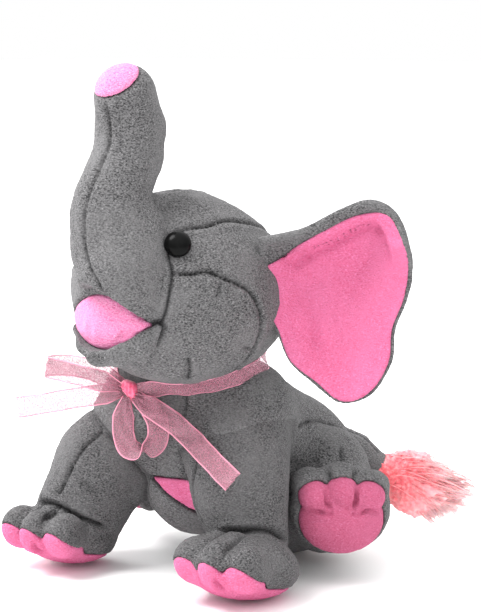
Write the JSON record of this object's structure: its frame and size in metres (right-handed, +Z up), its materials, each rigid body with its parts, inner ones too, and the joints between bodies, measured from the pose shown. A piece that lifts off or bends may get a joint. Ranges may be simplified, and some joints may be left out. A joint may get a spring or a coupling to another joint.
{
  "type": "stuffed elephant",
  "caption": "Sitting grey plush elephant with a raised trunk, pink-lined ears, pink soles, a sheer ribbon at the neck and a tufted tail.",
  "frame": {"origin": "middle of the flat rest face under the rump", "axes": "+Z up, the face looks along -Y, +X is the toy's own left"},
  "size_m": [0.2052, 0.2128, 0.2394],
  "materials": {
    "grey_plush": "short-pile velboa plush",
    "pink_plush": "short-pile velboa plush",
    "coral_pile": "long combed pile with pale tips",
    "fibrefill": "loose polyester fibre",
    "eye_black": "polished moulded plastic",
    "washer_white": "moulded plastic",
    "pink_organza": "sheer woven organza with bright selvedges"
  },
  "bodies": {
    "torso": {"torso_shell": "grey_plush", "belly_panel": "pink_plush", "torso_stuffing": "fibrefill", "ribbon_collar": "pink_organza", "ribbon_knot": "pink_organza", "ribbon_loop_left": "pink_organza", "ribbon_loop_right": "pink_organza", "ribbon_tail_left": "pink_organza", "ribbon_tail_right": "pink_organza"},
    "head": {"head_shell": "grey_plush", "cheek_panel_left": "grey_plush", "cheek_panel_right": "grey_plush", "chin_panel": "grey_plush", "mouth_lining": "pink_plush", "head_stuffing": "fibrefill", "eye_left": "eye_black", "eye_right": "eye_black", "eye_washer_left": "washer_white", "eye_washer_right": "washer_white"},
    "trunk": {"trunk_panel_left": "grey_plush", "trunk_panel_right": "grey_plush", "trunk_tip_patch": "pink_plush", "trunk_stuffing": "fibrefill"},
    "ear_left": {"ear_back_left": "grey_plush", "ear_lining_left": "pink_plush"},
    "ear_right": {"ear_back_right": "grey_plush", "ear_lining_right": "pink_plush"},
    "front_leg_left": {"front_leg_shell_left": "grey_plush", "front_sole_left": "pink_plush", "front_leg_stuffing_left": "fibrefill"},
    "front_leg_right": {"front_leg_shell_right": "grey_plush", "front_sole_right": "pink_plush", "front_leg_stuffing_right": "fibrefill"},
    "hind_leg_left": {"hind_leg_shell_left": "grey_plush", "hind_sole_left": "pink_plush", "hind_leg_stuffing_left": "fibrefill"},
    "hind_leg_right": {"hind_leg_shell_right": "grey_plush", "hind_sole_right": "pink_plush", "hind_leg_stuffing_right": "fibrefill"},
    "tail": {"tail_shell": "grey_plush", "tail_stuffing": "fibrefill", "tail_tuft": "coral_pile"}
  },
  "joints": [
    {"name": "head_nod", "type": "hinge", "parent": "torso", "child": "head", "pos_m": [0, -0.056, 0.11], "axis": [1, 0, 0], "range_deg": [-6, 6], "stiffness_Nm_per_rad": 3},
    {"name": "trunk_bend", "type": "hinge", "parent": "head", "child": "trunk", "pos_m": [0, -0.096, 0.143], "axis": [1, 0, 0], "range_deg": [-10, 10], "stiffness_Nm_per_rad": 0.6},
    {"name": "ear_flap_left", "type": "hinge", "parent": "head", "child": "ear_left", "pos_m": [0.0455, -0.048, 0.15], "axis": [0, 0, 1], "range_deg": [-25, 20], "stiffness_Nm_per_rad": 0.1},
    {"name": "ear_flap_right", "type": "hinge", "parent": "head", "child": "ear_right", "pos_m": [-0.0455, -0.048, 0.15], "axis": [0, 0, -1], "range_deg": [-25, 20], "stiffness_Nm_per_rad": 0.1},
    {"name": "front_leg_swing_left", "type": "hinge", "parent": "torso", "child": "front_leg_left", "pos_m": [0.011, -0.038, 0.082], "axis": [1, 0, 0], "range_deg": [-8, 3], "stiffness_Nm_per_rad": 4},
    {"name": "front_leg_swing_right", "type": "hinge", "parent": "torso", "child": "front_leg_right", "pos_m": [-0.011, -0.038, 0.082], "axis": [1, 0, 0], "range_deg": [-8, 3], "stiffness_Nm_per_rad": 4},
    {"name": "hind_leg_splay_left", "type": "hinge", "parent": "torso", "child": "hind_leg_left", "pos_m": [0.031, 0.002, 0], "axis": [0, 0, 1], "range_deg": [-4, 10], "stiffness_Nm_per_rad": 0.6},
    {"name": "hind_leg_splay_right", "type": "hinge", "parent": "torso", "child": "hind_leg_right", "pos_m": [-0.031, 0.002, 0], "axis": [0, 0, -1], "range_deg": [-4, 10], "stiffness_Nm_per_rad": 0.6},
    {"name": "tail_swing", "type": "hinge", "parent": "torso", "child": "tail", "pos_m": [0.004, 0.036, 0.058], "axis": [0, 0, 1], "range_deg": [-20, 20], "stiffness_Nm_per_rad": 0.1}
  ]
}
